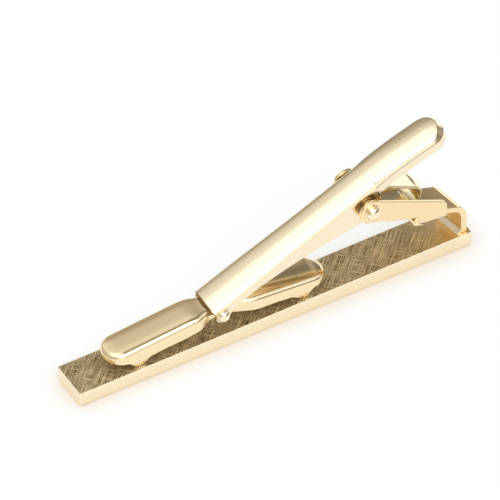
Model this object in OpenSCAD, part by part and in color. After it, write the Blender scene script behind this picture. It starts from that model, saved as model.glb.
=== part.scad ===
/* [Bar] */
// Length of the dress bar
bar_l = 60; // [54:1:66]
// Width of the dress bar
bar_w = 6; // [5.8:0.1:7]
// Thickness of the dress bar
bar_t = 2.5; // [2:0.1:3.2]
// Rounding of the long edges of the polished front
front_edge_r = 0.6; // [0.2:0.1:0.9]

/* [Bracket arm] */
// Width of the bent strip soldered to the bar
arm_w = 5; // [4.6:0.1:5.4]
// Thickness of the strip
arm_t = 0.9; // [0.7:0.05:1.1]
// Bar left bare between the strip and the right-hand end
arm_ledge = 0.45; // [0.3:0.05:0.8]
// Height of the bend's centre above the back of the bar
arm_bend_h = 2.95; // [2.7:0.05:3.2]
// Outside radius of the bend
arm_bend_r = 2.4; // [2.1:0.1:2.6]
// Angle that the strip climbs towards the hinge
arm_climb = 20; // [18:0.5:22]
// Length of the climbing leg past the bend
arm_leg = 7.5; // [7:0.1:7.8]
// Angle of the fold off square, seen from above
arm_skew = 10; // [0:1:12]
// Leg of the solder fillet at the foot of the strip
solder_leg = 0.6; // [0.4:0.05:0.8]

/* [Hinge] */
// Distance of the hinge axis from the right-hand end of the bar
hinge_in = 15.7; // [15.4:0.1:16]
// Height of the hinge axis above the back of the bar
hinge_h = 12.1; // [11.8:0.05:12.4]
// Radius of the hinge pin
hinge_pin_r = 0.6; // [0.5:0.05:0.7]
// Radius of the hinge pin's domed heads
hinge_head_r = 1.15; // [1:0.05:1.3]
// Height of the domed heads
hinge_head_h = 0.6; // [0.4:0.05:0.7]
// Thickness of the collars under the domed heads
hinge_collar_t = 0.3; // [0.2:0.05:0.5]
// Radius of the washers between lever and housing
washer_r = 1.5; // [1.3:0.05:1.7]
// Thickness of the washers
washer_t = 0.57; // [0.4:0.01:0.65]

/* [Housing] */
// Outside width of the folded housing
housing_w = 7.3; // [7.1:0.1:7.6]
// Sheet thickness of the housing
housing_t = 0.5; // [0.4:0.05:0.6]
// Radius of the two ears that carry the hinge pin
ear_r = 1.85; // [1.7:0.05:2]
// Angle that the housing's top edge falls towards the bend
housing_fall = 26.5; // [25:0.5:28]
// Length of the near wall past the hinge axis
housing_l = 11.5; // [11.2:0.1:11.8]
// Length that the far wall is shorter by
far_wall_cut = 2; // [1.5:0.1:2.4]
// Depth of the skirt that hangs beside the strip
skirt_d = 1.3; // [1.1:0.05:1.5]

/* [Spring] */
// Room between the leaf spring and the lever's side walls
spring_room = 0.3; // [0.2:0.05:0.5]
// Thickness of the leaf
spring_t = 0.35; // [0.25:0.05:0.4]
// Outside radius of the leaf's closed bend
spring_r = 1.6; // [1.5:0.05:1.75]
// Angle between the leaf's two legs
spring_open = 8; // [6:0.5:10]

/* [Lever] */
// Sheet thickness of the lever
lever_t = 0.5; // [0.4:0.05:0.6]
// Distance between hinge pin and jaw pin along the lever
lever_reach = 23.9; // [23:0.1:25]
// Height of the jaw pin off the lever's centre line
jaw_pin_lift = 1.6; // [1.4:0.05:1.8]
// Length of the thumb end past the hinge axis
tail_l = 14.6; // [13.8:0.1:15.2]
// Angle that the thumb end is bent down by
tail_bend = 6; // [4:0.5:8]
// Height of the shoulders over the lever's centre line
shoulder_h = 2.5; // [2.3:0.05:2.7]
// Rise of the arched top over the shoulders
crown_rise = 0.9; // [0.7:0.05:1.1]
// Height of the side walls along the thumb end
tail_wall_h = 1.65; // [1.4:0.05:1.8]

/* [Jaw] */
// Height of the jaw pin above the back of the bar
jaw_pin_h = 3.5; // [3.4:0.05:3.7]
// Half length of the rocking jaw
jaw_half_l = 16.8; // [15:0.2:17.2]
// Outside width of the jaw
jaw_w = 4.8; // [4.6:0.1:5]
// Room between the jaw's waist and each of the lever's ears
waist_room = 0.25; // [0.15:0.05:0.4]
// Sheet thickness of the jaw
jaw_t = 0.45; // [0.35:0.05:0.5]
// Radius of the jaw pin
jaw_pin_r = 0.5; // [0.4:0.05:0.6]
// Radius of the jaw pin's domed head, which is on the near side
jaw_head_r = 1; // [0.9:0.05:1.1]
// Height of the jaw pin's domed head
jaw_head_h = 0.55; // [0.4:0.05:0.6]
// Thickness of the collar under the domed head
jaw_collar_t = 0.6; // [0.3:0.05:0.7]

/* [Hidden] */

$fn = 64;

// Radial clearance of a pin in its bore
run_gap = 0.03;
// Clearance between the faces of neighbouring pieces on one pin
side_gap = 0.04;
// Clearance under the feet of the closed jaw
foot_gap = 0.03;

// The lever fills the housing between its washers, and takes the spring and the jaw inside
lever_w = housing_w - 2 * (housing_t + washer_t + 2 * side_gap);
lever_in_w = lever_w - 2 * lever_t;
spring_w = lever_in_w - 2 * spring_room;
jaw_waist_w = lever_in_w - 2 * waist_room;

// Overrun of every cut
cut = 1;

back_z = bar_t;
hinge_x = bar_l / 2 - hinge_in;
hinge_z = back_z + hinge_h;

// The lever leans so that its jaw pin comes down to its height over the bar
pin_offset_angle = atan(jaw_pin_lift / lever_reach);
pin_span = norm([lever_reach, jaw_pin_lift]);
lever_lean = asin((hinge_h - jaw_pin_h) / pin_span) + pin_offset_angle;
jaw_x = hinge_x - pin_span * cos(lever_lean - pin_offset_angle);
jaw_z = back_z + jaw_pin_h;

// Bracket arm
bend_x = bar_l / 2 - arm_ledge - arm_bend_r;
bend_z = back_z + arm_bend_h;
arm_bend_in_r = arm_bend_r - arm_t;

// Depth of the strip's upper face under the hinge axis, square to that face
seat_d = (hinge_z - bend_z) * cos(arm_climb) - (bend_x - hinge_x) * sin(arm_climb)
    - arm_bend_r;
// Floor of the housing: where it starts and ends along the strip, and its lips
floor_start = ear_r + 1.05 * hinge_head_r;
floor_end = housing_l + ear_r / 2 - far_wall_cut;
lip_start = housing_l * 0.7;
lip_l = 3 * housing_t;
lip_w = 4 * housing_t;
// Drop of the skewed strip from its near edge to its far edge, square to the strip
strip_drop = arm_w * tan(arm_skew) * sin(arm_climb);
// Shares of that drop at the far lip and at the near lip
lip_drop_shares = [1, 0.25];
strip_under = arm_t + side_gap;
floor_under = strip_drop + side_gap;
skirt_start_share = 0.64;
skirt_end_share = 0.15;
// Radius of the walls' rounded corner over the bend, and the number of steps round it
corner_share = 0.11;
corner_steps = 6;
// Distance of the walls' top edge from the hinge axis, as a share of the ear's radius
ear_line_share = 0.96;

// Place of the spring's closed bend, and length of the leg that reaches up to the lever's roof
spring_bend_share = 0.65;
spring_reach_share = 0.35;
spring_leg = spring_bend_share * housing_l + spring_reach_share * ear_r;

// Lever outlines, measured from the lever's centre line through the hinge axis
hinge_ear_r = 2.1;
jaw_ear_r = 1.25;
lever_end = lever_reach + jaw_ear_r * 3 / 4;
// Place of the bend towards the thumb end, as a share of the thumb end's length
kink_share = 0.46;
kink_u = tail_l * kink_share;
crown_h = shoulder_h + crown_rise;
crown_r = (pow(lever_w / 2, 2) + pow(crown_rise, 2)) / (2 * crown_rise);
// Lower edge of the lever's side walls, as shares of the reach and of the hinge ear
wall_edge_shares = [[0.085, -0.83], [0.385, -0.08], [0.73, 0.6]];

// Jaw outlines, measured from the jaw pin
jaw_slope = 5.5;
jaw_crown = 0.9;
jaw_crown_rise = 0.6;
jaw_crown_r = (pow(jaw_w / 2, 2) + pow(jaw_crown_rise, 2)) / (2 * jaw_crown_rise);
jaw_shoulder = jaw_crown - jaw_crown_rise;
jaw_ear_depth = 1.1;
// Where the lobes reach their full width, on the right and on the left
lobe_start_shares = [0.3, 0.25];
// Lower edge of the jaw, as shares of its half length and of its pin's height
jaw_edge_shares = [[0.155, -0.43], [0.33, -0.6], [0.52, -0.69], [0.74, -0.99],
    [0.77, -0.99], [0.84, -0.66], [1.02, -0.49]];

module at_hinge() {
    translate([hinge_x, 0, hinge_z]) children();
}

module at_jaw_pin() {
    translate([jaw_x, 0, jaw_z]) children();
}

// Stands a side view up, with its x along the bar and its y upwards
module stand_up(width) {
    rotate([90, 0, 0]) linear_extrude(width, center = true) children();
}

// Runs a cross-section along the bar, from x = from to x = to
module run_along(from, to) {
    translate([from, 0, 0])
        rotate([90, 0, 90])
            linear_extrude(to - from) children();
}

// Frame of the strip's climbing leg, with z square to its upper face
module along_strip() {
    at_hinge() rotate([0, arm_climb, 0]) translate([0, 0, -seat_d]) children();
}

module lean() {
    at_hinge() rotate([0, -lever_lean, 0]) children();
}

// Pin with a collar and a domed head at its near end (0), its far end (1) or both
module domed_pin(pin_r, head_r, head_h, collar_t, grip, ends) {
    dome_r = (pow(head_r, 2) + pow(head_h, 2)) / (2 * head_h);
    top = collar_t + head_h;
    rotate([90, 0, 0]) {
        cylinder(h = grip, r = pin_r, center = true);
        for (end = ends)
            mirror([0, 0, end])
                translate([0, 0, grip / 2])
                    rotate_extrude()
                        intersection() {
                            square([head_r, top]);
                            translate([0, top - dome_r]) circle(dome_r);
                        }
    }
}

module cross_bore(pin_r) {
    rotate([90, 0, 0])
        cylinder(h = housing_w + cut, r = pin_r + run_gap, center = true);
}

module bar() {
    color("goldenrod")
        run_along(-bar_l / 2, bar_l / 2) {
            translate([-bar_w / 2, front_edge_r])
                square([bar_w, bar_t - front_edge_r]);
            translate([-bar_w / 2 + front_edge_r, 0])
                square([bar_w - 2 * front_edge_r, bar_t - front_edge_r]);
            for (side = [-1, 1])
                translate([side * (bar_w / 2 - front_edge_r), front_edge_r])
                    circle(front_edge_r);
        }
}

// Side view of the strip, from the centre of its bend
module arm_side() {
    reach = 2 * arm_bend_r;
    translate([arm_bend_in_r, -arm_bend_h])
        square([arm_t, arm_bend_h]);
    intersection() {
        difference() {
            circle(arm_bend_r);
            circle(arm_bend_in_r);
        }
        polygon([
            [0, 0],
            [reach, 0],
            [reach, reach],
            [reach * sin(arm_climb), reach * cos(arm_climb)]
        ]);
    }
    rotate(-arm_climb)
        translate([-arm_leg, arm_bend_in_r])
            square([arm_leg, arm_t]);
}

// Turns a side view about the strip's near outer edge and trims it to the strip's width
module skewed_strip() {
    intersection() {
        translate([bend_x + arm_bend_r, -arm_w / 2, bend_z])
            rotate([0, 0, arm_skew])
                translate([-arm_bend_r, 0, 0])
                    stand_up(3 * arm_w) children();
        translate([-bar_l / 2, -arm_w / 2, back_z])
            cube([bar_l, arm_w, bar_l]);
    }
}

module bracket_arm() {
    color("gold") skewed_strip() arm_side();
}

module solder_fillet() {
    color("lightgoldenrodyellow")
        skewed_strip()
            translate([arm_bend_in_r, -arm_bend_h])
                polygon([[0, 0], [0, solder_leg], [-solder_leg, 0]]);
}

// Side view of a housing wall, from the hinge axis
module wall_side(length) {
    corner_r = corner_share * housing_l;
    line_r = ear_line_share * ear_r;
    corner_x = length - corner_r;
    corner_y = (line_r - corner_r - corner_x * sin(housing_fall)) / cos(housing_fall);
    rounding = [
        for (i = [0 : corner_steps])
            let (turn = (90 - housing_fall) * (1 - i / corner_steps))
                [corner_x + corner_r * cos(turn), corner_y + corner_r * sin(turn)]
    ];
    function seat(x) = -(seat_d + x * sin(arm_climb)) / cos(arm_climb);
    skirt_x = skirt_start_share * housing_l;
    circle(ear_r);
    polygon(concat(
        [[0, 0], [line_r * sin(housing_fall), line_r * cos(housing_fall)]],
        rounding,
        [[length, seat(housing_l) - skirt_d * skirt_end_share]],
        [[skirt_x, seat(skirt_x) - skirt_d]],
        [[skirt_x - housing_t, seat(skirt_x - housing_t)]],
        [[-seat_d * sin(arm_climb), -seat_d * cos(arm_climb)]]
    ));
}

// Tab that hangs from the wall and is crimped in under the strip
module lip(depth) {
    translate([lip_start, housing_w / 2 - housing_t + side_gap, -depth - housing_t])
        cube([lip_l, housing_t - 2 * side_gap, depth + 2 * housing_t]);
    translate([lip_start, housing_w / 2 - lip_w, -depth - housing_t])
        cube([lip_l, lip_w - side_gap, housing_t]);
}

module housing() {
    inner_w = housing_w - 2 * housing_t;
    floor_w = inner_w + housing_t;
    color("palegoldenrod")
        difference() {
            union() {
                at_hinge()
                    for (side = [-1, 1])
                        translate([0, side * (housing_w - housing_t) / 2, 0])
                            stand_up(housing_t)
                                wall_side(side < 0 ? housing_l : housing_l - far_wall_cut);
                difference() {
                    along_strip()
                        translate([floor_start, -floor_w / 2, -floor_under])
                            cube([floor_end - floor_start, floor_w, housing_t + floor_under]);
                    skewed_strip() arm_side();
                }
                along_strip()
                    for (side = [0, 1])
                        mirror([0, side, 0])
                            lip(strip_under + lip_drop_shares[side] * strip_drop);
            }
            at_hinge() cross_bore(hinge_pin_r);
        }
}

// Side view of the leaf spring, with its lower leg along y = 0
module spring_side() {
    bend_in_r = spring_r - spring_t;
    reach = 2 * spring_r;
    bend_s = spring_bend_share * housing_l;
    translate([bend_s, spring_r]) {
        translate([floor_start - bend_s, -spring_r])
            square([bend_s - floor_start, spring_t]);
        difference() {
            circle(spring_r);
            circle(bend_in_r);
            polygon([
                [0, 0],
                [0, -reach],
                [-reach, -reach],
                [-reach, reach],
                [reach * sin(spring_open), reach * cos(spring_open)]
            ]);
        }
        rotate(-spring_open)
            translate([-spring_leg, bend_in_r])
                square([spring_leg, spring_t]);
    }
}

module spring() {
    color("khaki")
        along_strip()
            translate([0, 0, housing_t])
                stand_up(spring_w) spring_side();
}

module hinge_pin() {
    color("gold")
        at_hinge()
            domed_pin(hinge_pin_r, hinge_head_r, hinge_head_h, hinge_collar_t, housing_w, [0, 1]);
}

module washer(side) {
    at_hinge()
        translate([0, side * (lever_w / 2 + side_gap + washer_t / 2), 0])
            difference() {
                rotate([90, 0, 0])
                    cylinder(h = washer_t, r = washer_r, center = true);
                cross_bore(hinge_pin_r);
            }
}

module washer_near() {
    color("darkgoldenrod") washer(-1);
}

module washer_far() {
    color("darkgoldenrod") washer(1);
}

// Cross-section of the lever, with side walls under an arched top
module lever_section(inset) {
    half = lever_w / 2 - inset;
    centre_h = crown_h - crown_r;
    deep = 2 * hinge_ear_r;
    translate([-half, centre_h - deep])
        square([2 * half, deep]);
    intersection() {
        translate([0, centre_h]) circle(crown_r - inset);
        translate([-half, centre_h])
            square([2 * half, 2 * crown_r]);
    }
}

// Keeps what lies before the lever's bend (side = 0) or past it (side = 1)
module side_of_bend(side) {
    big = 3 * lever_reach;
    intersection() {
        children();
        translate([kink_u, 0, crown_h])
            rotate([0, tail_bend / 2, 0])
                translate([side == 0 ? -big : 0, -big / 2, -big / 2])
                    cube([big, big, big]);
    }
}

module past_bend() {
    translate([kink_u, 0, crown_h])
        rotate([0, tail_bend, 0])
            translate([-kink_u, 0, -crown_h]) children();
}

// Thumb end in plan, reduced by an inset
module tail_plan(inset) {
    half = lever_w / 2 - inset;
    tip_u = tail_l - lever_w / 2;
    translate([tip_u, 0]) circle(half);
    translate([0, -half]) square([tip_u, 2 * half]);
}

module straight_block(inset) {
    run_along(-lever_end - (inset > 0 ? cut : 0), tail_l) lever_section(inset);
}

module tail_block(inset) {
    tall = 4 * crown_h;
    past_bend()
        intersection() {
            run_along(0, tail_l + cut) lever_section(inset);
            translate([0, 0, -tall / 2])
                linear_extrude(tall) tail_plan(inset);
        }
}

// Side view of the lever's walls
module lever_side() {
    wall_line = shoulder_h - tail_wall_h;
    top = crown_h + cut;
    far = tail_l + cut;
    circle(hinge_ear_r);
    translate([-lever_reach, jaw_pin_lift]) circle(jaw_ear_r);
    polygon(concat(
        [[0, 0], [hinge_ear_r, wall_line], [kink_u, wall_line]],
        [[far, wall_line - (far - kink_u) * tan(tail_bend)], [far, top]],
        [[-lever_end, top], [-lever_end, jaw_pin_lift]],
        [[-lever_reach, jaw_pin_lift - jaw_ear_r]],
        [for (i = [len(wall_edge_shares) - 1 : -1 : 0])
            [-wall_edge_shares[i][0] * lever_reach, wall_edge_shares[i][1] * hinge_ear_r]]
    ));
}

module lever() {
    color("lemonchiffon")
        lean()
            difference() {
                intersection() {
                    union() {
                        side_of_bend(0)
                            difference() {
                                straight_block(0);
                                straight_block(lever_t);
                            }
                        side_of_bend(1)
                            difference() {
                                tail_block(0);
                                tail_block(lever_t);
                            }
                    }
                    stand_up(lever_w + cut) lever_side();
                }
                cross_bore(hinge_pin_r);
                translate([-lever_reach, 0, jaw_pin_lift]) cross_bore(jaw_pin_r);
            }
}

module jaw_pin() {
    color("gold")
        at_jaw_pin() domed_pin(jaw_pin_r, jaw_head_r, jaw_head_h, jaw_collar_t, lever_w, [0]);
}

// Cross-section of a jaw lobe, from the crown down
module jaw_section(inset) {
    half = jaw_w / 2 - inset;
    deep = 2 * jaw_pin_h;
    translate([-half, -deep - jaw_crown_rise])
        square([2 * half, deep]);
    intersection() {
        translate([0, -jaw_crown_r]) circle(jaw_crown_r - inset);
        translate([-half, -jaw_crown_rise - cut])
            square([2 * half, cut + jaw_crown_rise]);
    }
}

// One end of the jaw in plan, with a round nose and a rounded inner end
module lobe_plan(side, inset) {
    half = jaw_w / 2 - inset;
    lobe_x = lobe_start_shares[side] * jaw_half_l;
    nose_x = jaw_half_l - jaw_w / 2;
    translate([nose_x, 0]) circle(half);
    translate([lobe_x, 0]) circle(half);
    translate([lobe_x, -half]) square([nose_x - lobe_x, 2 * half]);
}

module jaw_lobe(side, inset) {
    tall = 3 * jaw_pin_h;
    intersection() {
        translate([0, 0, jaw_crown])
            rotate([0, jaw_slope, 0])
                run_along(-cut, jaw_half_l + cut) jaw_section(inset);
        translate([0, 0, -tall / 2])
            linear_extrude(tall) lobe_plan(side, inset);
    }
}

module jaw_block(inset) {
    waist = jaw_waist_w - 2 * inset;
    waist_l = (lobe_start_shares[0] + lobe_start_shares[1]) * jaw_half_l;
    for (side = [0, 1])
        mirror([side, 0, 0]) jaw_lobe(side, inset);
    translate([-lobe_start_shares[1] * jaw_half_l, -waist / 2, -jaw_pin_h])
        cube([waist_l, waist, jaw_pin_h + jaw_shoulder - inset]);
}

// Side view of the jaw, which stands on two points
module jaw_side() {
    top = jaw_pin_h;
    right = [for (p = jaw_edge_shares) [p[0] * jaw_half_l, p[1] * (jaw_pin_h - foot_gap)]];
    left = [for (i = [len(right) - 1 : -1 : 0]) [-right[i][0], right[i][1]]];
    circle(jaw_ear_depth);
    polygon(concat(
        [[jaw_half_l + cut, top], [-jaw_half_l - cut, top]],
        left,
        [[0, -jaw_ear_depth]],
        right
    ));
}

module jaw() {
    color("wheat")
        at_jaw_pin()
            difference() {
                intersection() {
                    jaw_block(0);
                    stand_up(jaw_w + cut) jaw_side();
                }
                jaw_block(jaw_t);
                cross_bore(jaw_pin_r);
            }
}

bar();
solder_fillet();
bracket_arm();
housing();
spring();
hinge_pin();
washer_near();
washer_far();
lever();
jaw_pin();
jaw();
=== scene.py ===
import math

import bmesh
import bpy
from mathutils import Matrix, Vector


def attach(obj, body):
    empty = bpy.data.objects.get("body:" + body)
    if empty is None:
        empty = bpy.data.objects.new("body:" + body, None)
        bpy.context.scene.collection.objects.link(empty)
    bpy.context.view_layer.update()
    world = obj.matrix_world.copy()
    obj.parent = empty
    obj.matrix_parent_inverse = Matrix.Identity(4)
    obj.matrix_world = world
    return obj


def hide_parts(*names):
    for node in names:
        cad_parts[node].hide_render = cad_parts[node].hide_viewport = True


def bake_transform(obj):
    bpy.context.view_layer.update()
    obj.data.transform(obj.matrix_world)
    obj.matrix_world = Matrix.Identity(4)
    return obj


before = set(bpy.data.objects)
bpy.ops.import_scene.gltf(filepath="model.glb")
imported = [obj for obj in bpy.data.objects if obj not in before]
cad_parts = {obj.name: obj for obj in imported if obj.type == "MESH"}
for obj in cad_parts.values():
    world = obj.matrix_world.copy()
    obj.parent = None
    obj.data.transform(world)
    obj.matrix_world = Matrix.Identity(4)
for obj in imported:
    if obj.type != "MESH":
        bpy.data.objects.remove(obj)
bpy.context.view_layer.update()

MM = 0.001

# Points of the clasp in the side view, in millimetres: x along the bar and z up from the polished front.
HINGE_X, HINGE_Z = 14.3, 14.6
JAW_PIN_X, JAW_PIN_Z = -8.056, 6.0
LEVER_LEAN = math.radians(24.87)


# Shader helpers

def node(tree, kind, **settings):
    """Adds a shader node and sets its plain properties."""
    made = tree.nodes.new(kind)
    for name, value in settings.items():
        setattr(made, name, value)
    return made


def feed(tree, socket, value):
    """Links another socket to an input, or sets the input to a plain value."""
    if isinstance(value, bpy.types.NodeSocket):
        tree.links.new(value, socket)
    else:
        socket.default_value = value


def calculated(tree, operation, *values):
    """Result of a sum over sockets and plain numbers."""
    made = node(tree, "ShaderNodeMath", operation=operation)
    for socket, value in zip(made.inputs, values):
        feed(tree, socket, value)
    return made.outputs["Value"]


def ranged(tree, value, low, high, to_low=0.0, to_high=1.0, **settings):
    """Moves the range from low to high of a value onto the range from to_low to to_high."""
    edge = node(tree, "ShaderNodeMapRange", **settings)
    for label, number in (("From Min", low), ("From Max", high), ("To Min", to_low), ("To Max", to_high)):
        edge.inputs[label].default_value = number
    tree.links.new(value, edge.inputs["Value"])
    return edge.outputs["Result"]


def falling(tree, value, full, none):
    """1 where the value is at full, falling smoothly to 0 where it is at none."""
    return ranged(tree, value, full, none, 1.0, 0.0, interpolation_type="SMOOTHSTEP")


def mixed(tree, factor, first, second):
    """Colour that goes from first to second as the factor goes from 0 to 1."""
    mix = node(tree, "ShaderNodeMix", data_type="RGBA")
    feed(tree, mix.inputs["Factor"], factor)
    for socket, colour in ((mix.inputs[6], first), (mix.inputs[7], second)):
        feed(tree, socket, (*colour, 1.0) if isinstance(colour, tuple) else colour)
    return mix.outputs[2]


def parts_of(tree, vector):
    """The X, Y and Z outputs of a vector."""
    axes = node(tree, "ShaderNodeSeparateXYZ")
    tree.links.new(vector, axes.inputs["Vector"])
    return axes.outputs


# Camera and studio

VIEW_TARGET = (-2.35, 0.0, 12.9)
VIEW_WIDTH = 65.99
TOWARD_CAMERA = (-0.3556, -0.6085, 0.7094)
CAMERA_DISTANCE = 2.9
SENSOR_WIDTH = 36.0

# Brightness of the room's walls from the left (0) to the right (1), with one narrow dark stripe on the right.
WALL_LEVELS = (
    (0.0, 0.55), (0.22, 0.64), (0.33, 0.92), (0.4, 0.78), (0.6, 0.67), (0.68, 0.56),
    (0.708, 0.5), (0.727, 0.08), (0.75, 0.08), (0.772, 0.5), (0.86, 0.18), (1.0, 0.28),
)
# Tint of a fully bright wall, and how far it drops in a dark one.
WALL_TINT, WALL_TINT_DROP = (1.0, 0.99, 0.965), (0.0, 0.12, 0.28)
# Soft patches of the room: direction, degrees to their inner and outer edge, and colour. In turn: high on
# the left, high on the right, high in front, overhead, low behind, a small dark one overhead, low in front.
ROOM_PATCHES = (
    ((-0.395, 0.03, 0.918), 10, 35, (1.42, 1.42, 1.4)),
    ((0.75, -0.2, 0.63), 12, 30, (0.95, 0.94, 0.92)),
    ((0.1, -0.66, 0.745), 16, 30, (2.1, 2.1, 2.1)),
    ((0.195, 0.3, 0.93), 6, 16, (0.86, 0.84, 0.8)),
    ((0.21, 0.86, 0.42), 8, 24, (0.42, 0.37, 0.29)),
    ((0.32, -0.04, 0.946), 7, 17, (0.2, 0.165, 0.12)),
    ((-0.05, -0.98, 0.16), 18, 34, (1.1, 1.1, 1.08)),
)
# Bands low on the walls, each with a colour and the limits of its masks: axis, full effect, no effect.
# In turn: a dim skirting in front on the right, a dim one behind, and the white backdrop on the right.
LOW_BANDS = (
    ((0.24, 0.18, 0.11), (("Y", -0.2, 0.1), ("X", 0.22, 0.12), ("Z", 0.1, 0.27))),
    ((0.34, 0.3, 0.235), (("Y", 0.6, 0.3), ("X", 0.25, 0.5), ("Z", 0.06, 0.3))),
    ((1.35, 1.35, 1.33), (("X", 0.62, 0.5), ("Y", 0.4, 0.15), ("Z", 0.13, 0.24))),
)

TABLE_HALF, TABLE_BEHIND = 0.2, 0.075
TABLE_PAINT = (0.3, 0.3, 0.3, 1.0)
TABLE_GLOW = 0.72
# Share of the glow that the metal sees.
TABLE_GLOW_IN_METAL = 0.97
# Colour and reach of the painted warm contact shadow on the table round the clip.
PAINTED_WARM_SHADOW = (0.7, 0.48, 0.21)
PAINTED_SHADOW_REACH = 0.0035


def look_at(obj, target):
    """Turns a camera or a lamp so that it faces the target."""
    away = obj.location - Vector(target)
    obj.rotation_euler = away.to_track_quat("Z", "Y").to_euler()


def make_camera():
    """A long lens on the photograph's line of sight."""
    target = Vector(VIEW_TARGET) * MM
    data = bpy.data.cameras.new("photograph_camera")
    data.sensor_width = SENSOR_WIDTH
    data.lens = SENSOR_WIDTH * CAMERA_DISTANCE / (VIEW_WIDTH * MM)
    data.clip_start = 0.1
    data.clip_end = 50.0
    camera = bpy.data.objects.new("photograph_camera", data)
    bpy.context.collection.objects.link(camera)
    camera.location = target + Vector(TOWARD_CAMERA).normalized() * CAMERA_DISTANCE
    look_at(camera, target)
    bpy.context.scene.camera = camera


def sky_patch(tree, direction, axis, inner, outer):
    """Mask of the directions that lie within inner degrees of an axis, fading out by outer degrees."""
    facing = node(tree, "ShaderNodeVectorMath", operation="DOT_PRODUCT")
    facing.inputs[1].default_value = Vector(axis).normalized()
    tree.links.new(direction, facing.inputs[0])
    low, high = math.cos(math.radians(outer)), math.cos(math.radians(inner))
    return ranged(tree, facing.outputs["Value"], low, high, interpolation_type="SMOOTHSTEP")


def make_room_light():
    """Soft white room that goes from bright on the left to dim on the right; the camera sees plain white."""
    world = bpy.data.worlds.new("soft_studio")
    bpy.context.scene.world = world
    world.use_nodes = True
    tree = world.node_tree
    tree.nodes.clear()
    direction = node(tree, "ShaderNodeTexCoord").outputs["Generated"]
    axes = parts_of(tree, direction)
    walls = node(tree, "ShaderNodeValToRGB")
    ramp = walls.color_ramp
    ramp.interpolation = "EASE"
    for index, (place, level) in enumerate(WALL_LEVELS):
        stop = ramp.elements[index] if index < 2 else ramp.elements.new(place)
        stop.position = place
        # The dimmer a wall is, the warmer it is.
        dimness = 1.0 - min(1.0, level)
        tinted = [level * (full - drop * dimness) for full, drop in zip(WALL_TINT, WALL_TINT_DROP)]
        stop.color = (*tinted, 1.0)
    tree.links.new(ranged(tree, axes["X"], -1.0, 1.0), walls.inputs["Fac"])
    light = walls.outputs["Color"]
    for axis, inner, outer, colour in ROOM_PATCHES:
        light = mixed(tree, sky_patch(tree, direction, axis, inner, outer), light, colour)
    for colour, limits in LOW_BANDS:
        first, second, third = (falling(tree, axes[axis], full, none) for axis, full, none in limits)
        band = calculated(tree, "MULTIPLY", calculated(tree, "MULTIPLY", first, second), third)
        light = mixed(tree, band, light, colour)
    room = node(tree, "ShaderNodeBackground")
    tree.links.new(light, room.inputs["Color"])
    seen = node(tree, "ShaderNodeBackground")
    seen.inputs["Color"].default_value = (1.0, 1.0, 1.0, 1.0)
    rays = node(tree, "ShaderNodeLightPath")
    mix = node(tree, "ShaderNodeMixShader")
    tree.links.new(rays.outputs["Is Camera Ray"], mix.inputs["Fac"])
    for socket, background in ((mix.inputs[1], room), (mix.inputs[2], seen)):
        background.inputs["Strength"].default_value = 1.0
        tree.links.new(background.outputs["Background"], socket)
    out = node(tree, "ShaderNodeOutputWorld")
    tree.links.new(mix.outputs["Shader"], out.inputs["Surface"])


def make_softbox(name, location, target, size, watts):
    """A large square lamp that faces the clip."""
    data = bpy.data.lights.new(name, "AREA")
    data.shape = "SQUARE"
    data.size = size
    data.energy = watts
    lamp = bpy.data.objects.new(name, data)
    bpy.context.collection.objects.link(lamp)
    lamp.location = location
    look_at(lamp, target)


def make_floor():
    """White table that keeps a faint shadow and shows white to the camera and in the metal."""
    mesh = bpy.data.meshes.new("white_table")
    half, behind = TABLE_HALF, TABLE_BEHIND
    corners = [(-half, -half, 0), (half, -half, 0), (half, behind, 0), (-half, behind, 0)]
    mesh.from_pydata(corners, [], [(0, 1, 2, 3)])
    table = bpy.data.objects.new("white_table", mesh)
    bpy.context.collection.objects.link(table)
    material = bpy.data.materials.new("white_table")
    material.use_nodes = True
    tree = material.node_tree
    tree.nodes.clear()
    paint = node(tree, "ShaderNodeBsdfDiffuse")
    paint.inputs["Color"].default_value = TABLE_PAINT
    rays = node(tree, "ShaderNodeLightPath").outputs
    in_metal = calculated(tree, "MULTIPLY", rays["Is Glossy Ray"], TABLE_GLOW_IN_METAL)
    shown = calculated(tree, "MAXIMUM", rays["Is Camera Ray"], in_metal)
    shown = calculated(tree, "MAXIMUM", shown, rays["Is Transmission Ray"])
    # Close to the clip an occlusion mask turns the table's glow darker and warm: a painted warm contact
    # shadow standing in for the gold's bounce.
    painted_shadow_mask = node(tree, "ShaderNodeAmbientOcclusion", samples=8)
    painted_shadow_mask.inputs["Distance"].default_value = PAINTED_SHADOW_REACH
    glow = node(tree, "ShaderNodeEmission")
    painted_warm_shade = mixed(tree, painted_shadow_mask.outputs["AO"], PAINTED_WARM_SHADOW, (1.0, 1.0, 1.0))
    tree.links.new(painted_warm_shade, glow.inputs["Color"])
    tree.links.new(calculated(tree, "MULTIPLY", shown, TABLE_GLOW), glow.inputs["Strength"])
    add = node(tree, "ShaderNodeAddShader")
    tree.links.new(paint.outputs["BSDF"], add.inputs[0])
    tree.links.new(glow.outputs["Emission"], add.inputs[1])
    out = node(tree, "ShaderNodeOutputMaterial")
    tree.links.new(add.outputs["Shader"], out.inputs["Surface"])
    mesh.materials.append(material)


# Gold finishes

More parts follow.
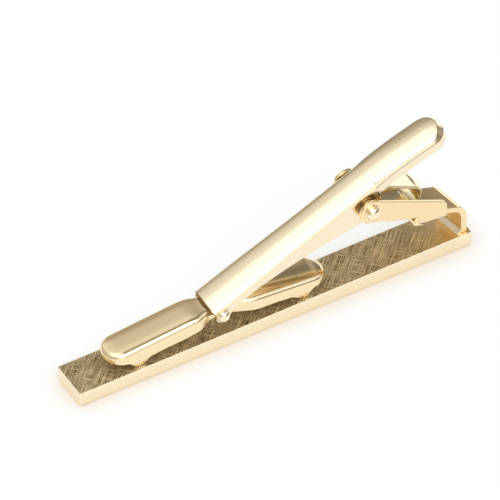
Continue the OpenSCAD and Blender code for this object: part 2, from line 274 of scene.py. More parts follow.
# Each finish, in the order of the plating group's inputs: tone, cloud tone, roughness, roughness spread,
# hairline depth and cloud size.
BAR_FINISH = ((0.985, 0.885, 0.68), (0.97, 0.85, 0.62), 0.1, 0.04, 0.03, 260.0)
LEVER_FINISH = ((0.965, 0.855, 0.635), (0.95, 0.835, 0.605), 0.2, 0.05, 0.05, 350.0)
PLAIN_FINISHES = {
    "bright_gold": ((0.965, 0.78, 0.48), (0.945, 0.75, 0.44), 0.09, 0.05, 0.04, 400.0),
    "jaw_gold": ((0.965, 0.8, 0.51), (0.97, 0.81, 0.55), 0.16, 0.05, 0.05, 350.0),
    "solder_gold": ((0.975, 0.87, 0.7), (0.95, 0.82, 0.62), 0.2, 0.1, 0.2, 900.0),
    "spring_gold": ((0.975, 0.88, 0.66), (0.955, 0.84, 0.57), 0.17, 0.05, 0.05, 500.0),
    "pin_gold": ((0.985, 0.89, 0.7), (0.965, 0.85, 0.62), 0.12, 0.05, 0.05, 600.0),
    # The washers are near-black brown: painted shade of the narrow gaps between the lever's ears and the
    # housing.
    "washer_painted_shade": ((0.3, 0.2, 0.1), (0.22, 0.15, 0.07), 0.16, 0.06, 0.05, 500.0),
}
# Painted shade: brown laid into the lever's creases and the cut ends of its skin, where thin dark lines of
# shade fall.
CREASE_PAINTED_SHADE = (0.3, 0.2, 0.1)
HAIRLINE_STRETCH = (250.0, 6000.0, 2500.0)
HAIRLINE_DEPTH = 0.00002

# The hatching: angle, strokes per metre and stroke length of both directions, and of the broad streaks.
HATCHING = ((0.8, 10600.0, 280.0), (-0.85, 9200.0, 420.0), (0.8, 1500.0, 240.0))
# Share of the second direction in the weave, and of the broad streaks in its brightness.
SECOND_SHARE, STREAK_SHARE = 0.92, 0.09
HATCHING_DEPTH = 0.00011
HATCHING_ROUGHNESS = 0.48
# The weave's values that show as the darkest and the brightest stroke.
STROKE_LOW, STROKE_HIGH = 0.47, 0.66
STROKE_DARK, STROKE_BRIGHT = (0.2, 0.13, 0.055), (1.0, 0.84, 0.54)
# Painted shade of the up-facing back, standing in for the dark surroundings it reflects.
BACK_PAINTED_SHADE = (0.8, 0.62, 0.36)
# The hatching is on faces that look up: upward share of the normal for none and for all of it.
BACK_FACING = (0.9, 0.97)
# Places along the bar between which the hatching fades, and the share that is left of it.
FADE_FROM, FADE_TO, FADE_LEFT = 0.0225, 0.026, 0.3


def new_group(name, inputs, outputs):
    """A shader node group with named sockets, and its input and output nodes."""
    group = bpy.data.node_groups.new(name, "ShaderNodeTree")
    for label, kind, value in inputs:
        socket = group.interface.new_socket(name=label, in_out="INPUT", socket_type=kind)
        if value is not None:
            socket.default_value = value
    for label, kind in outputs:
        group.interface.new_socket(name=label, in_out="OUTPUT", socket_type=kind)
    return group, group.nodes.new("NodeGroupInput"), group.nodes.new("NodeGroupOutput")


def plating_group():
    """Fine unevenness of a plated surface: cloudy tone, cloudy roughness and hairline polishing marks."""
    group, entry, leave = new_group(
        "plating_unevenness",
        [
            ("Tone", "NodeSocketColor", (0.9, 0.7, 0.4, 1.0)),
            ("Cloud tone", "NodeSocketColor", (0.8, 0.6, 0.3, 1.0)),
            ("Roughness", "NodeSocketFloat", 0.15),
            ("Roughness spread", "NodeSocketFloat", 0.05),
            ("Hairline depth", "NodeSocketFloat", 0.02),
            ("Cloud size", "NodeSocketFloat", 300.0),
        ],
        [("Colour", "NodeSocketColor"), ("Roughness", "NodeSocketFloat"), ("Normal", "NodeSocketVector")],
    )
    given = entry.outputs
    where = node(group, "ShaderNodeTexCoord").outputs["Object"]
    clouds = node(group, "ShaderNodeTexNoise")
    clouds.inputs["Detail"].default_value = 3.0
    group.links.new(where, clouds.inputs["Vector"])
    group.links.new(given["Cloud size"], clouds.inputs["Scale"])
    cloudy = clouds.outputs["Fac"]
    group.links.new(mixed(group, cloudy, given["Tone"], given["Cloud tone"]), leave.inputs["Colour"])
    spread = calculated(group, "MULTIPLY_ADD", cloudy, given["Roughness spread"], given["Roughness"])
    group.links.new(spread, leave.inputs["Roughness"])
    stretch = node(group, "ShaderNodeMapping")
    stretch.inputs["Scale"].default_value = HAIRLINE_STRETCH
    group.links.new(where, stretch.inputs["Vector"])
    hairlines = node(group, "ShaderNodeTexNoise")
    hairlines.inputs["Scale"].default_value = 1.0
    hairlines.inputs["Detail"].default_value = 2.0
    group.links.new(stretch.outputs["Vector"], hairlines.inputs["Vector"])
    bump = node(group, "ShaderNodeBump")
    bump.inputs["Distance"].default_value = HAIRLINE_DEPTH
    group.links.new(given["Hairline depth"], bump.inputs["Strength"])
    group.links.new(hairlines.outputs["Fac"], bump.inputs["Height"])
    group.links.new(bump.outputs["Normal"], leave.inputs["Normal"])
    return group


def gold_material(name, group, finish):
    """Plated metal, returned with its plating's outputs and its shader's inputs."""
    material = bpy.data.materials.new(name)
    material.use_nodes = True
    tree = material.node_tree
    shader = tree.nodes["Principled BSDF"]
    shader.inputs["Metallic"].default_value = 1.0
    plate = node(tree, "ShaderNodeGroup")
    plate.node_tree = group
    for socket, value in zip(plate.inputs, finish):
        socket.default_value = (*value, 1.0) if isinstance(value, tuple) else value
    for given, taken in (("Colour", "Base Color"), ("Roughness", "Roughness"), ("Normal", "Normal")):
        tree.links.new(plate.outputs[given], shader.inputs[taken])
    return material, plate.outputs, shader.inputs


def hatching_group():
    """Broken engraved strokes that run one way across the back of the bar."""
    group, entry, leave = new_group(
        "hatching_strokes",
        [
            ("Vector", "NodeSocketVector", None),
            ("Angle", "NodeSocketFloat", 0.0),
            ("Strokes per metre", "NodeSocketFloat", 4000.0),
            ("Stroke length", "NodeSocketFloat", 600.0),
        ],
        [("Strokes", "NodeSocketFloat")],
    )
    turn = node(group, "ShaderNodeVectorRotate", rotation_type="Z_AXIS")
    group.links.new(entry.outputs["Vector"], turn.inputs["Vector"])
    group.links.new(entry.outputs["Angle"], turn.inputs["Angle"])
    scale = node(group, "ShaderNodeCombineXYZ")
    group.links.new(entry.outputs["Strokes per metre"], scale.inputs["X"])
    group.links.new(entry.outputs["Stroke length"], scale.inputs["Y"])
    stretched = node(group, "ShaderNodeVectorMath", operation="MULTIPLY")
    group.links.new(turn.outputs["Vector"], stretched.inputs[0])
    group.links.new(scale.outputs["Vector"], stretched.inputs[1])
    strokes = node(group, "ShaderNodeTexNoise")
    strokes.inputs["Scale"].default_value = 1.0
    strokes.inputs["Detail"].default_value = 2.0
    strokes.inputs["Roughness"].default_value = 0.6
    group.links.new(stretched.outputs["Vector"], strokes.inputs["Vector"])
    group.links.new(strokes.outputs["Fac"], leave.inputs["Strokes"])
    return group


def lever_material(plating):
    """Satin gold with painted shade: it goes brown in the fine creases round the thumb end and at the cut
    ends of its skin.
    """
    material, plate, shader = gold_material("satin_gold", plating, LEVER_FINISH)
    tree = material.node_tree
    # Painted shade: brown wherever the crease layer marks a crease or a cut end.
    crease = node(tree, "ShaderNodeAttribute", attribute_name="crease")
    crease_shaded = mixed(tree, crease.outputs["Fac"], plate["Colour"], CREASE_PAINTED_SHADE)
    tree.links.new(crease_shaded, shader["Base Color"])
    return material


def bar_material(plating, hatching):
    """Polished gold, with a cross-hatched back."""
    material, plate, shader = gold_material("bar_gold", plating, BAR_FINISH)
    tree = material.node_tree
    where = node(tree, "ShaderNodeTexCoord").outputs
    strokes = []
    for angle, count, length in HATCHING:
        one_way = node(tree, "ShaderNodeGroup")
        one_way.node_tree = hatching
        one_way.inputs["Angle"].default_value = angle
        one_way.inputs["Strokes per metre"].default_value = count
        one_way.inputs["Stroke length"].default_value = length
        tree.links.new(where["Object"], one_way.inputs["Vector"])
        strokes.append(one_way.outputs["Strokes"])
    fainter = calculated(tree, "MULTIPLY", strokes[1], SECOND_SHARE)
    weave = calculated(tree, "MAXIMUM", strokes[0], fainter)
    # The hatching covers the back only, and fades into a smooth strip under the bracket.
    back = ranged(tree, parts_of(tree, where["Normal"])["Z"], *BACK_FACING)
    fade = ranged(tree, parts_of(tree, where["Object"])["X"], FADE_FROM, FADE_TO, 1.0, FADE_LEFT)
    mask = calculated(tree, "MULTIPLY", back, fade)
    bump = node(tree, "ShaderNodeBump")
    bump.inputs["Distance"].default_value = HATCHING_DEPTH
    tree.links.new(mask, bump.inputs["Strength"])
    tree.links.new(weave, bump.inputs["Height"])
    tree.links.new(plate["Normal"], bump.inputs["Normal"])
    tree.links.new(bump.outputs["Normal"], shader["Normal"])
    # Broad streaks make some strokes brighter than others.
    streaked = calculated(tree, "MULTIPLY_ADD", strokes[2], STREAK_SHARE, weave)
    grain = ranged(tree, streaked, STROKE_LOW, STROKE_HIGH)
    shade = mixed(tree, grain, STROKE_DARK, STROKE_BRIGHT)
    # The back is painted browner than the polished front and sides, seen mostly in the smooth strip under the
    # bracket: painted shade standing in for the dark surroundings that strip reflects.
    back_shaded = mixed(tree, back, plate["Colour"], BACK_PAINTED_SHADE)
    tree.links.new(mixed(tree, mask, back_shaded, shade), shader["Base Color"])
    rough = node(tree, "ShaderNodeMix", data_type="FLOAT")
    tree.links.new(mask, rough.inputs["Factor"])
    tree.links.new(plate["Roughness"], rough.inputs[2])
    rough.inputs[3].default_value = HATCHING_ROUGHNESS
    tree.links.new(rough.outputs[0], shader["Roughness"])
    return material


# Mesh helpers

# Points nearer than this are one point, in the skins and in the lofts, in metres.
SKIN_JOIN, LOFT_JOIN = 0.00001, 0.000002
# An edge is sharp when it turns by more than this.
SHARP_TURN = math.radians(40.0)
ROUNDING_SEGMENTS = 3


def smooth_step(value):
    """0 before 0, 1 after 1, and a smooth rise between them."""
    value = min(1.0, max(0.0, value))
    return value * value * (3.0 - 2.0 * value)


def follow(points, at):
    """Height of a chain of (x, z) points at x = at."""
    if at <= points[0][0]:
        return points[0][1]
    for (x0, z0), (x1, z1) in zip(points, points[1:]):
        if at <= x1:
            return z0 + (z1 - z0) * (at - x0) / (x1 - x0)
    return points[-1][1]


def spaced(start, end, count):
    """Evenly spaced values from start to end, both included."""
    return [start + (end - start) * i / (count - 1) for i in range(count)]


def bezier(p0, p1, p2, t):
    """Point at t on the curve from p0 to p2 that is drawn towards p1."""
    a, b, c = (1 - t) ** 2, 2 * t * (1 - t), t * t
    return tuple(a * x + b * y + c * z for x, y, z in zip(p0, p1, p2))


def finished_piece(name, bm, mesh, material):
    """Object with smooth faces and one material, made from an edited mesh."""
    for face in bm.faces:
        face.smooth = True
    bm.to_mesh(mesh)
    bm.free()
    mesh.materials.append(material)
    piece = bpy.data.objects.new(name, mesh)
    bpy.context.collection.objects.link(piece)
    return piece


def shell_from_columns(name, columns, crease_rows, creased, closed, material):
    """Skin over columns of points, from a wall's lower edge to the centre line, creased where asked.

    The creases, and the cut ends of an open skin, are marked in the vertex layer "crease".
    """
    mesh = bpy.data.meshes.new(name)
    bm = bmesh.new()
    crease = bm.verts.layers.float.new("crease")
    rows = [[bm.verts.new(point) for point in column] for column in columns]
    for row, crisp in zip(rows, creased):
        for index in crease_rows if crisp else ():
            row[index][crease] = 1.0
    for vert in () if closed else rows[0] + rows[-1]:
        vert[crease] = 1.0
    pairs = list(zip(rows, rows[1:], creased)) + ([(rows[-1], rows[0], creased[-1])] if closed else [])
    for left, right, crisp in pairs:
        for low in range(len(left) - 1):
            bm.faces.new((left[low], right[low], right[low + 1], left[low + 1]))
        for row in crease_rows if crisp else ():
            bm.edges.get((left[row], right[row])).smooth = False
    bmesh.ops.remove_doubles(bm, verts=bm.verts[:], dist=SKIN_JOIN)
    bmesh.ops.recalc_face_normals(bm, faces=bm.faces[:])
    top = max(bm.faces, key=lambda face: face.calc_center_median().z)
    if top.normal.z < 0:
        bmesh.ops.reverse_faces(bm, faces=bm.faces[:])
    return finished_piece(name, bm, mesh, material)


def loft(name, rings, material):
    """Skin over closed rings of points, with its two ends filled."""
    mesh = bpy.data.meshes.new(name)
    bm = bmesh.new()
    loops = [[bm.verts.new(point) for point in ring] for ring in rings]
    count = len(loops[0])
    for near, far in zip(loops, loops[1:]):
        for i in range(count):
            bm.faces.new((near[i], near[(i + 1) % count], far[(i + 1) % count], far[i]))
    bm.faces.new(loops[0])
    bm.faces.new(loops[-1])
    bmesh.ops.remove_doubles(bm, verts=bm.verts[:], dist=LOFT_JOIN)
    bmesh.ops.recalc_face_normals(bm, faces=bm.faces[:])
    return finished_piece(name, bm, mesh, material)


def break_edges(piece, edge_round, clamped=True):
    """Small rounding on every sharp edge."""
    edge = piece.modifiers.new("broken_edges", "BEVEL")
    edge.width = edge_round * MM
    edge.segments = ROUNDING_SEGMENTS
    edge.use_clamp_overlap = clamped
    edge.limit_method = "ANGLE"
    edge.angle_limit = SHARP_TURN
    edge.harden_normals = True
    edge.miter_outer = "MITER_ARC"


def thicken(piece, thickness, edge_round):
    """Gives a skin its sheet thickness inwards and breaks its cut edges."""
    solid = piece.modifiers.new("sheet_thickness", "SOLIDIFY")
    solid.thickness = thickness * MM
    solid.offset = -1.0
    solid.thickness_clamp = 0.0
    break_edges(piece, edge_round)


# Lever

# The lever's own frame is straight: u along it from the hinge, v across it and n up from its centre line.
LEVER_HALF_W = 2.5
# Half width that is added towards the jaw pin, where that starts and its span.
LEVER_WIDER, WIDER_FROM_U, WIDER_SPAN = 0.25, -6.0, 17.0
# Height of the top at its edges and along its middle.
LEVER_SHOULDER, LEVER_CROWN = 2.5, 3.4
LEVER_END_U = -24.84
LEVER_T, LEVER_EDGE_ROUND = 0.5, 0.09
# The heel's end swells a little past its straight edge.
HEEL_BULGE, HEEL_BULGE_SPAN = 0.1925, 1.6
# The thumb end: centre of its round tip, and its bend downwards.
TAIL_CENTRE_U = 12.1
TAIL_BEND = math.radians(6.0)
TAIL_BEND_FROM, TAIL_BEND_TO, TAIL_BEND_STEPS = 3.6, 10.0, 24
# Side wall of the thumb end: where it starts and how high its lower edge stands.
TAIL_WALL_U, TAIL_WALL_N = 3.0, 0.86
# Ear at the hinge: radius, start, its lower edge's first angle and sweep. The overrun leaves a last stretch
# of the edge that curves round the corner into the thumb end's wall.
HINGE_EAR_R, HINGE_EAR_U = 2.1, -1.93
HINGE_EAR_FROM, HINGE_EAR_SWEEP, HINGE_EAR_OVERRUN = 223.0, 155.0, 1.12
HINGE_EAR_CORNER = (2.1, 0.9)
# Ear at the jaw pin: radius, centre, and its lower edge's first angle and sweep.
JAW_EAR_R = 1.25
JAW_PIN_U, JAW_PIN_N = -23.9, 1.6
JAW_EAR_FROM, JAW_EAR_SWEEP = 205.0, 65.0
# Lower edge of the wall between the ears, as (u, n).
LEVER_WALL_EDGE = [
    (-23.9, 0.35), (-23.35, 0.49), (-22.9, 0.84), (-22.5, 1.2), (-21.4, 1.32), (-18.06, 1.36), (-13.5, 0.72),
    (-9.16, -0.12), (-5.0, -1.06), (-1.93, -1.81),
]
# Width of the rounded rim on the top and down the wall, and how that changes at the thumb end and its tip.
RIM_W, RIM_W_TAIL, RIM_W_TIP = 0.62, -0.44, 0.42
RIM_DOWN_TAIL, RIM_DOWN_TIP = -0.5, 0.75
# How much of the arch the top also gets lengthways at the tip.
TIP_DOMING = 0.3
# The thumb end's form takes over from here and over this span, and has sharp creases past this share of it.
TAIL_FORM_U, TAIL_FORM_SPAN, CREASED_SHARE = -1.0, 6.0, 0.6
# Stretches of stations along each side: first, last and number.
LEVER_RUNS = (
    (LEVER_END_U, -22.0, 14), (-21.7, -2.2, 52), (-2.0, 3.4, 40), (TAIL_BEND_FROM, TAIL_CENTRE_U - 0.2, 34),
)
LEVER_TIP_STATIONS = 49
LEVER_WALL_STEPS, LEVER_SHOULDER_STEPS, LEVER_TOP_STEPS = 7, 7, 12


def lever_place(u, v, n):
    """A point of the lever, from its own frame to the clip's, with the thumb end bent down."""
    if u > TAIL_BEND_FROM:
        span = TAIL_BEND_TO - TAIL_BEND_FROM
        turned_u, turned_n = TAIL_BEND_FROM, LEVER_CROWN
        part = (u - TAIL_BEND_FROM) / TAIL_BEND_STEPS
        for i in range(TAIL_BEND_STEPS):
            at = TAIL_BEND_FROM + part * (i + 0.5)
            angle = TAIL_BEND * smooth_step((at - TAIL_BEND_FROM) / span)
            turned_u += part * math.cos(angle)
            turned_n -= part * math.sin(angle)
        angle = TAIL_BEND * smooth_step((u - TAIL_BEND_FROM) / span)
        under = n - LEVER_CROWN
        u, n = turned_u + under * math.sin(angle), turned_n + under * math.cos(angle)
    x = HINGE_X + u * math.cos(LEVER_LEAN) - n * math.sin(LEVER_LEAN)
    z = HINGE_Z + u * math.sin(LEVER_LEAN) + n * math.cos(LEVER_LEAN)
    return Vector((x, v, z)) * MM


def lever_wall_foot(u):
    """Lower end of the side wall under station u, as its own (u, n)."""
    if u < JAW_PIN_U:
        part = (u - LEVER_END_U) / (JAW_PIN_U - LEVER_END_U)
        angle = math.radians(JAW_EAR_FROM + JAW_EAR_SWEEP * part)
        return (JAW_PIN_U + JAW_EAR_R * math.cos(angle), JAW_PIN_N + JAW_EAR_R * math.sin(angle))
    if u < HINGE_EAR_U:
        return (u, follow(LEVER_WALL_EDGE, u))
    if u < TAIL_WALL_U:
        swept = (u - HINGE_EAR_U) / (TAIL_WALL_U - HINGE_EAR_U) * HINGE_EAR_OVERRUN
        angle = math.radians(HINGE_EAR_FROM + HINGE_EAR_SWEEP * min(1.0, swept))
        foot = (HINGE_EAR_R * math.cos(angle), HINGE_EAR_R * math.sin(angle))
        if swept > 1.0:
            rest = (swept - 1.0) / (HINGE_EAR_OVERRUN - 1.0)
            foot = bezier(foot, HINGE_EAR_CORNER, (TAIL_WALL_U, TAIL_WALL_N), rest)
        return foot
    return (u, TAIL_WALL_N)


def lever_half_width(u):
    """Half width of the lever at station u, a little more towards the jaw pin."""
    return LEVER_HALF_W + LEVER_WIDER * smooth_step((WIDER_FROM_U - u) / WIDER_SPAN)


def lever_arch(v):
    """Height of the lever's top over its centre line, at v across it."""
    return LEVER_CROWN - (LEVER_CROWN - LEVER_SHOULDER) * (v / LEVER_HALF_W) ** 2


def lever_stations():
    """Stations round the lever's edge: place along it, side from -1 to 1, and how much they face the tip."""
    along = [u for run in LEVER_RUNS for u in spaced(*run)]
    stations = [(u, -1.0, 0.0) for u in along]
    for turn in spaced(-90.0, 90.0, LEVER_TIP_STATIONS):
        stations.append((TAIL_CENTRE_U, math.sin(math.radians(turn)), math.cos(math.radians(turn))))
    return stations + [(u, 1.0, 0.0) for u in reversed(along)]


def make_lever(material):
    """Pressed lever: arched top, soft shoulders, ears at both pins, and a thumb end with a bevelled rim."""
    columns, creased = [], []
    for centre_u, side, tip in lever_stations():
        half = lever_half_width(centre_u)
        rim_u = centre_u + half * tip
        rim_v = half * side
        tail = smooth_step((centre_u - TAIL_FORM_U) / TAIL_FORM_SPAN)
        inward = RIM_W + RIM_W_TAIL * tail + RIM_W_TIP * tip
        down = RIM_W + RIM_DOWN_TAIL * tail + RIM_DOWN_TIP * tip

        def top_point(share):
            across = lever_arch(share * rim_v * LEVER_HALF_W / half)
            domed = lever_arch(share * LEVER_HALF_W)
            height = across + (domed - across) * TIP_DOMING * tip
            return (centre_u + (rim_u - centre_u) * share, rim_v * share, height)

        inner_share = 1.0 - inward / half
        inner = top_point(inner_share)
        corner = top_point(1.0)
        outer = (rim_u, rim_v, corner[2] - down)
        foot_u, foot_n = lever_wall_foot(centre_u)
        if centre_u >= TAIL_WALL_U:
            foot_u = rim_u
        bulge = HEEL_BULGE * max(0.0, 1.0 - (centre_u - LEVER_END_U) / HEEL_BULGE_SPAN)
        column = []
        for i in range(LEVER_WALL_STEPS):
            part = i / LEVER_WALL_STEPS
            u = foot_u + (rim_u - foot_u) * part - bulge * math.sin(math.pi * part)
            column.append((u, rim_v, foot_n + (outer[2] - foot_n) * part))
        # The shoulder is round along the lever and goes over into a flat bevel at the thumb end.
        for part in spaced(0.0, 1.0, LEVER_SHOULDER_STEPS + 1):
            soft = bezier(outer, corner, inner, part)
            straight = tuple(a + (b - a) * part for a, b in zip(outer, inner))
            column.append(tuple(a + (b - a) * tail for a, b in zip(soft, straight)))
        for i in range(1, LEVER_TOP_STEPS + 1):
            column.append(top_point(inner_share * (1.0 - i / LEVER_TOP_STEPS)))
        columns.append([lever_place(*point) for point in column])
        creased.append(tail > CREASED_SHARE)
    crease_rows = (LEVER_WALL_STEPS, LEVER_WALL_STEPS + LEVER_SHOULDER_STEPS)
    piece = shell_from_columns("pressed_lever", columns, crease_rows, creased, False, material)
    thicken(piece, LEVER_T, LEVER_EDGE_ROUND)
    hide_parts("lever")
    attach(piece, "lever")


# Jaw

# Measured from the jaw pin.
JAW_HALF_L = 16.8
JAW_HALF_W = 2.4
JAW_WAIST_HALF_W = 1.7
# Where the walls of a lobe start to widen from the waist, and over what span.
LEFT_WIDENING, RIGHT_WIDENING = (1.0, 2.6), (1.7, 3.8)
JAW_T, JAW_EDGE_ROUND = 0.45, 0.08
# Width of the round shoulder on the top and down the wall.
JAW_SHOULDER, JAW_SHOULDER_DOWN = 0.8, 0.64
# The spine over the pin, and its slope down towards both noses.
JAW_SPINE_Z = 0.78
JAW_SLOPE = math.tan(math.radians(5.5))
# The left lobe stands higher than the right one past the lever's heel: rise, where it starts and its span.
LEFT_RISE, LEFT_RISE_FROM, LEFT_RISE_SPAN = 0.3, 1.2, 3.6
# Arch across a lobe: how far it falls with the square and, on the left only, with the fourth power.
LEFT_ARCH, LEFT_STEEP_ARCH, RIGHT_ARCH = 0.1, 0.3, 0.36
# How far a nose drops at its tip, and with what power of the distance.
NOSE_DROP, NOSE_POWER = 0.5, 2.4
# Lower edge of the walls with its two feet: distance from the pin, and height.
JAW_EDGE = [
    (0.0, -1.1), (1.1, -1.0), (2.6, -1.49), (5.54, -1.98), (8.74, -2.2), (10.9, -2.5), (12.0, -3.3),
    (12.5, -3.45), (13.0, -3.45), (13.5, -2.9), (14.1, -2.3), (17.1, -1.7),
]
# Least height that a wall keeps under its shoulder.
JAW_WALL_LEAST = 0.1
JAW_SIDE_STATIONS, JAW_NOSE_STATIONS = 150, 41
JAW_WALL_STEPS, JAW_SHOULDER_STEPS, JAW_TOP_STEPS = 6, 7, 10
# Step inwards over which the top's fall at the shoulder is measured.
FALL_STEP = 0.02


def jaw_half_width(x):
    """Half width of the jaw at x from its pin."""
    start, span = LEFT_WIDENING if x < 0 else RIGHT_WIDENING
    return JAW_WAIST_HALF_W + (JAW_HALF_W - JAW_WAIST_HALF_W) * smooth_step((abs(x) - start) / span)


def jaw_stations():
    """Stations round the jaw's edge: place along it, how much they face a nose, and side from -1 to 1."""
    nose_x = JAW_HALF_L - JAW_HALF_W
    stations = [(x, 0.0, -1.0) for x in spaced(-nose_x, nose_x, JAW_SIDE_STATIONS)]
    for turn in spaced(-90.0, 90.0, JAW_NOSE_STATIONS)[1:-1]:
        stations.append((nose_x, math.cos(math.radians(turn)), math.sin(math.radians(turn))))
    stations += [(x, 0.0, 1.0) for x in spaced(nose_x, -nose_x, JAW_SIDE_STATIONS)]
    for turn in spaced(90.0, -90.0, JAW_NOSE_STATIONS)[1:-1]:
        stations.append((-nose_x, -math.cos(math.radians(turn)), math.sin(math.radians(turn))))
    return stations


def make_jaw(material):
    """Rocking jaw: two hollow lobes with round noses on one spine, and two feet under each wall."""
    columns = []
    for centre_x, ahead, side in jaw_stations():
        half = jaw_half_width(centre_x)
        rim_x = centre_x + half * ahead
        rim_y = half * side

        def top_point(share):
            x = centre_x + (rim_x - centre_x) * share
            rise = LEFT_RISE * smooth_step((-x - LEFT_RISE_FROM) / LEFT_RISE_SPAN)
            spine = JAW_SPINE_Z - abs(x) * JAW_SLOPE + rise
            out = share * abs(side)
            # The left lobe is flatter along its middle and falls more steeply to its shoulders.
            left_arch = LEFT_ARCH * out ** 2 + LEFT_STEEP_ARCH * out ** 4
            arch = left_arch if centre_x < 0 else RIGHT_ARCH * out ** 2
            nose = NOSE_DROP * (share * abs(ahead)) ** NOSE_POWER
            return (x, rim_y * share, spine - arch * (half / JAW_HALF_W) - nose)

        inner_share = 1.0 - JAW_SHOULDER / half
        inner = top_point(inner_share)
        fall = (top_point(inner_share - FALL_STEP)[2] - inner[2]) / (FALL_STEP * half)
        corner = (rim_x, rim_y, inner[2] - fall * JAW_SHOULDER)
        outer = (rim_x, rim_y, corner[2] - JAW_SHOULDER_DOWN)
        foot_z = min(follow(JAW_EDGE, abs(rim_x)), outer[2] - JAW_WALL_LEAST)
        column = [
            (rim_x, rim_y, foot_z + (outer[2] - foot_z) * i / JAW_WALL_STEPS) for i in range(JAW_WALL_STEPS)
        ]
        column += [bezier(outer, corner, inner, part) for part in spaced(0.0, 1.0, JAW_SHOULDER_STEPS + 1)]
        column += [top_point(inner_share * (1.0 - i / JAW_TOP_STEPS)) for i in range(1, JAW_TOP_STEPS + 1)]
        columns.append([Vector((JAW_PIN_X + x, y, JAW_PIN_Z + z)) * MM for x, y, z in column])
    piece = shell_from_columns("rocking_jaw", columns, (), [False] * len(columns), True, material)
    thicken(piece, JAW_T, JAW_EDGE_ROUND)
    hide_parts("jaw")
    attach(piece, "jaw")


# Pins

HINGE_PIN_R, HINGE_HEAD_R = 0.6, 1.15
JAW_PIN_R, JAW_HEAD_R = 0.5, 1.0
HEAD_H = 0.9
# Distance of the outer faces of the housing and of the lever's ears from the middle of the clip.
HOUSING_FACE, EAR_FACE = 3.65, 2.75
# The dome: where its base stands, its share of the head's radius, its first ring's angle, number of rings.
DOME_FROM, DOME_SHARE = 0.23, 0.9
DOME_FIRST_TURN, DOME_RINGS = 8.0, 14
# Flange and groove under a head's dome: distance out, and share of the head's radius.
HEAD_FLANGE = (
    (0.0, 0.96), (0.03, 1.0), (0.11, 1.0), (0.14, 0.96), (0.15, 0.8), (0.22, 0.8), (DOME_FROM, 0.88),
)
# Radius of the smallest ring, at the middle of a pin's end.
PIN_TIP_R = 0.002
PIN_SIDES = 64
PIN_EDGE_ROUND = 0.03
# The flush end of the jaw pin, as distance out and radius.
FLUSH_END = [(0.0, JAW_PIN_R), (0.03, 0.45), (0.05, 0.3), (0.055, PIN_TIP_R)]


def head_profile(radius):
    """Outline of a pin head as (distance out, radius): a thin flange, a groove and a high dome."""
    outline = [(out, radius * share) for out, share in HEAD_FLANGE]
    for turn in spaced(DOME_FIRST_TURN, 90.0, DOME_RINGS):
        angle = math.radians(turn)
        out = DOME_FROM + (HEAD_H - DOME_FROM) * math.sin(angle)
        outline.append((out, max(PIN_TIP_R, radius * DOME_SHARE * math.cos(angle))))
    return outline


def turned_pin(name, centre, shaft, face, near_end, far_end, material):
    """Pin turned about Y, with an outline for the end past its near face and one past its far face."""
    profile = [(-face - out, radius) for out, radius in reversed(near_end)] + [(-face, shaft)]
    profile += [(face, shaft)] + [(face + out, radius) for out, radius in far_end]
    rings = []
    for y, radius in profile:
        ring = []
        for i in range(PIN_SIDES):
            angle = 2.0 * math.pi * i / PIN_SIDES
            x, z = centre[0] + radius * math.cos(angle), centre[1] + radius * math.sin(angle)
            ring.append(Vector((x, y, z)) * MM)
        rings.append(ring)
    piece = loft(name, rings, material)
    break_edges(piece, PIN_EDGE_ROUND)
    return piece


def make_pins(material):
    """Hinge pin with two heads, and jaw pin with a near head and a flush far end."""
    head = head_profile(HINGE_HEAD_R)
    pin = turned_pin("hinge_rivet", (HINGE_X, HINGE_Z), HINGE_PIN_R, HOUSING_FACE, head, head, material)
    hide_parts("hinge_pin")
    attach(pin, "bar")
    head = head_profile(JAW_HEAD_R)
    pin = turned_pin("jaw_rivet", (JAW_PIN_X, JAW_PIN_Z), JAW_PIN_R, EAR_FACE, head, FLUSH_END, material)
    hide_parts("jaw_pin")
    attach(pin, "lever")


# Spring

# In the side view along the strip: s runs from the hinge down towards the strip's bend, h square to it.
SPRING_CLIMB = math.radians(20.0)
# Height of the leaf's seat over the hinge, where leaf and bend start, and the length of the upper leg.
SPRING_SEAT = -1.303
SPRING_FROM_S, SPRING_BEND_S, SPRING_LEG = 3.06, 7.475, 8.05
SPRING_R, SPRING_T, SPRING_HALF_W = 1.6, 0.32, 1.7
# The bend's middle bulges out by this much, and the bulge dies away towards both ends by this power.
SPRING_SWELL, SPRING_SWELL_POWER = 0.34, 0.8
# The upper leg leads back at this angle to the leaf.
SPRING_OPEN = math.radians(8.0)
# Short gap between the bend's rings and those of the flat stretches.
SPRING_RING_GAP = 0.2
LEAF_RINGS, BEND_RINGS, LEG_RINGS, RING_POINTS = 14, 40, 22, 19


def spring_place(s, y, h):
    """A point of the spring, from its seat on the housing's floor to the clip's frame."""
    h += SPRING_SEAT
    x = HINGE_X + s * math.cos(SPRING_CLIMB) + h * math.sin(SPRING_CLIMB)
    z = HINGE_Z - s * math.sin(SPRING_CLIMB) + h * math.cos(SPRING_CLIMB)
    return Vector((x, y, z)) * MM


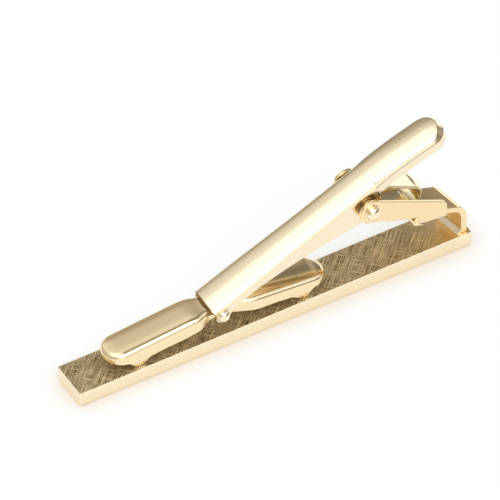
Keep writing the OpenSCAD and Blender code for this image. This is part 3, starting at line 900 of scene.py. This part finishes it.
def make_spring(material):
    """Leaf spring: a leaf laid on the floor, rolled over in a swelling bend and led back under the lever."""
    # The leaf's outer face: place (s, h), direction outwards (s, h), and share of the swelling.
    leaf = spaced(SPRING_FROM_S, SPRING_BEND_S - SPRING_RING_GAP, LEAF_RINGS)
    path = [(s, 0.0, 0.0, -1.0, 0.0) for s in leaf]
    quarter, last = math.radians(-90.0), math.pi / 2 - SPRING_OPEN
    for angle in spaced(quarter, last, BEND_RINGS):
        out_s, out_h = math.cos(angle), math.sin(angle)
        swell = math.sin(math.pi * (angle - quarter) / (last - quarter)) ** SPRING_SWELL_POWER
        path.append((SPRING_BEND_S + SPRING_R * out_s, SPRING_R + SPRING_R * out_h, out_s, out_h, swell))
    end_s, end_h = path[-1][0], path[-1][1]
    back_s, back_h = math.cos(SPRING_OPEN), math.sin(SPRING_OPEN)
    for run in spaced(SPRING_RING_GAP, SPRING_LEG, LEG_RINGS):
        path.append((end_s - run * back_s, end_h + run * back_h, back_h, back_s, 0.0))
    rings = []
    for s, h, out_s, out_h, swell in path:
        outer, inner = [], []
        for y in spaced(-SPRING_HALF_W, SPRING_HALF_W, RING_POINTS):
            out = SPRING_SWELL * swell * (1.0 - (y / SPRING_HALF_W) ** 2)
            outer.append(spring_place(s + out * out_s, y, h + out * out_h))
            out -= SPRING_T
            inner.append(spring_place(s + out * out_s, y, h + out * out_h))
        rings.append(outer + list(reversed(inner)))
    piece = loft("rolled_leaf_spring", rings, material)
    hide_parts("spring")
    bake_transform(piece)


# Dressing

# Points of a CAD mesh that are joined, in millimetres, and faces that count as one flat face.
CAD_JOIN, CAD_FLAT = 0.002, math.radians(0.6)
EVEN_SHADING_WEIGHT = 80


def dress_cad_piece(name, material, edge_round, clamped=True):
    """Keeps a CAD piece, with its own finish and broken edges."""
    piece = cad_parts[name]
    if piece.material_slots:
        for place in piece.material_slots:
            place.material = material
    else:
        piece.data.materials.append(material)
    if edge_round:
        joined = piece.modifiers.new("joined_faces", "WELD")
        joined.merge_threshold = CAD_JOIN * MM
        plain = piece.modifiers.new("plain_faces", "DECIMATE")
        plain.decimate_type = "DISSOLVE"
        plain.angle_limit = CAD_FLAT
        break_edges(piece, edge_round, clamped)
        even = piece.modifiers.new("even_shading", "WEIGHTED_NORMAL")
        even.weight = EVEN_SHADING_WEIGHT


make_camera()
make_room_light()
make_floor()
make_softbox("front_softbox", (-0.25, -0.55, 0.75), target=(0.0, 0.0, 0.0), size=0.5, watts=1.5)
bpy.context.scene.view_settings.view_transform = "Standard"

plating = plating_group()
gold = {name: gold_material(name, plating, finish)[0] for name, finish in PLAIN_FINISHES.items()}

dress_cad_piece("bar", bar_material(plating, hatching_group()), edge_round=0.1)
dress_cad_piece("bracket_arm", gold["bright_gold"], edge_round=0.12, clamped=False)
dress_cad_piece("solder_fillet", gold["solder_gold"], edge_round=0.0)
dress_cad_piece("housing", gold["bright_gold"], edge_round=0.1, clamped=False)
# Both washers carry the painted shade of the gaps round the hinge.
dress_cad_piece("washer_near", gold["washer_painted_shade"], edge_round=0.05)
dress_cad_piece("washer_far", gold["washer_painted_shade"], edge_round=0.05)
make_lever(lever_material(plating))
make_jaw(gold["jaw_gold"])
make_pins(gold["pin_gold"])
make_spring(gold["spring_gold"])
